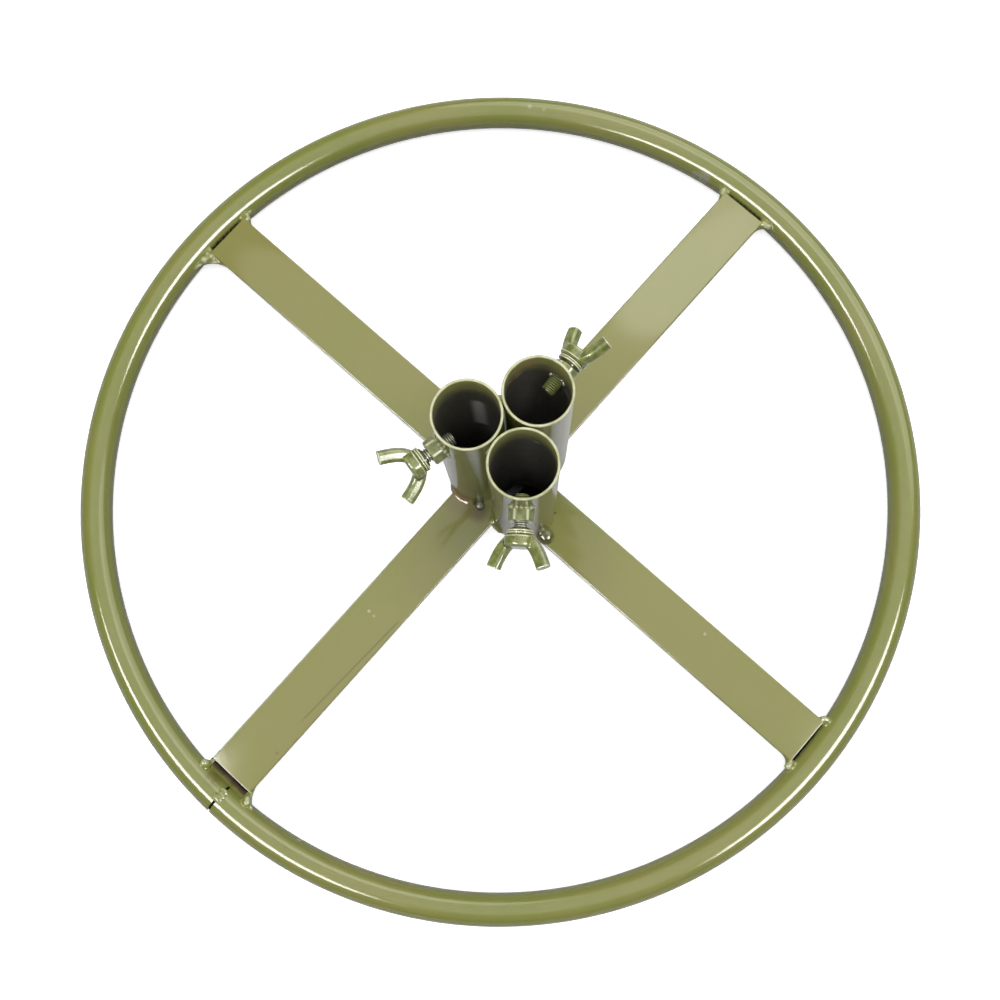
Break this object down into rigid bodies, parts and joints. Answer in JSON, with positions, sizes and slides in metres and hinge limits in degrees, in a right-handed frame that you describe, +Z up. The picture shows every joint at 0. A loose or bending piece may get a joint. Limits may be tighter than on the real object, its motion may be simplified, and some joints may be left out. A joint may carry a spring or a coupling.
{
  "type": "ring base pole stand",
  "caption": "Round tube ring with a cross of flat bars carrying a cluster of upright pole sockets, each with a wing screw that clamps the pole.",
  "frame": {"origin": "centre of the ring, on the ground", "axes": "+Z up; the long bar runs along Y with the ring's seam at -Y; the short bars run along X"},
  "size_m": [0.536, 0.536, 0.1778],
  "materials": {
    "ring_paint": "semi-gloss olive paint on bent steel tube",
    "bar_paint": "satin olive paint on flat steel bar",
    "socket_paint": "semi-gloss olive paint on steel tube, dark inside, pale at the cut rim",
    "hardware_paint": "glossy olive green coat on cast and turned hardware",
    "thread": "bright steel thread, green tinted at the tip",
    "weld_bead": "painted weld bead, bare and heat tinted in places"
  },
  "bodies": {
    "root": {"ring_tube": "ring_paint", "long_bar": "bar_paint", "short_bar_right": "bar_paint", "short_bar_left": "bar_paint", "socket_rear": "socket_paint", "socket_left": "socket_paint", "socket_right": "socket_paint", "ring_weld_rear_a": "weld_bead", "ring_weld_rear_b": "weld_bead", "ring_weld_seam_a": "weld_bead", "ring_weld_seam_b": "weld_bead", "ring_weld_right_a": "weld_bead", "ring_weld_right_b": "weld_bead", "ring_weld_left_a": "weld_bead", "ring_weld_left_b": "weld_bead", "seam_weld": "weld_bead", "butt_weld_right": "weld_bead", "butt_weld_left": "weld_bead", "foot_weld_rear": "weld_bead", "foot_weld_left": "weld_bead", "foot_weld_right": "weld_bead", "foot_weld_corner": "weld_bead", "valley_weld_rear_left": "weld_bead", "valley_weld_left_right": "weld_bead", "valley_weld_right_rear": "weld_bead", "nut_weld_rear": "weld_bead", "nut_weld_left": "weld_bead", "nut_weld_right": "weld_bead", "nut_rear": "hardware_paint", "nut_left": "hardware_paint", "nut_right": "hardware_paint"},
    "collar_rear": {"collar_rear": "hardware_paint"},
    "wing_screw_rear": {"screw_rear": "thread", "wings_rear": "hardware_paint"},
    "collar_left": {"collar_left": "hardware_paint"},
    "wing_screw_left": {"screw_left": "thread", "wings_left": "hardware_paint"},
    "collar_right": {"collar_right": "hardware_paint"},
    "wing_screw_right": {"screw_right": "thread", "wings_right": "hardware_paint"}
  },
  "joints": [
    {"name": "rear_travel", "type": "slide", "parent": "root", "child": "collar_rear", "axis": [0.0698, -0.9976, 0], "range_m": [-0.0093, 0.0003]},
    {"name": "rear_turn", "type": "hinge", "parent": "collar_rear", "child": "wing_screw_rear", "pos_m": [0.0035, 0.03329, 0.1498], "axis": [0.0698, -0.9976, 0], "range_deg": [-2678.6, 86.6]},
    {"name": "left_travel", "type": "slide", "parent": "root", "child": "collar_left", "axis": [0.225, 0.9744, 0], "range_m": [-0.007, 0.0026]},
    {"name": "left_turn", "type": "hinge", "parent": "collar_left", "child": "wing_screw_left", "pos_m": [-0.0158, -0.00014, 0.1498], "axis": [0.225, 0.9744, 0], "range_deg": [-2016.2, 749]},
    {"name": "right_travel", "type": "slide", "parent": "root", "child": "collar_right", "axis": [-0.6225, 0.7826, 0], "range_m": [-0.0064, 0.0032]},
    {"name": "right_turn", "type": "hinge", "parent": "collar_right", "child": "wing_screw_right", "pos_m": [0.0228, -0.00014, 0.1498], "axis": [-0.6225, 0.7826, 0], "range_deg": [-1843.4, 921.8]}
  ],
  "couplings": [
    {"joint": "rear_turn", "follows": "rear_travel", "rad_per_m": 5026.5},
    {"joint": "left_turn", "follows": "left_travel", "rad_per_m": 5026.5},
    {"joint": "right_turn", "follows": "right_travel", "rad_per_m": 5026.5}
  ]
}
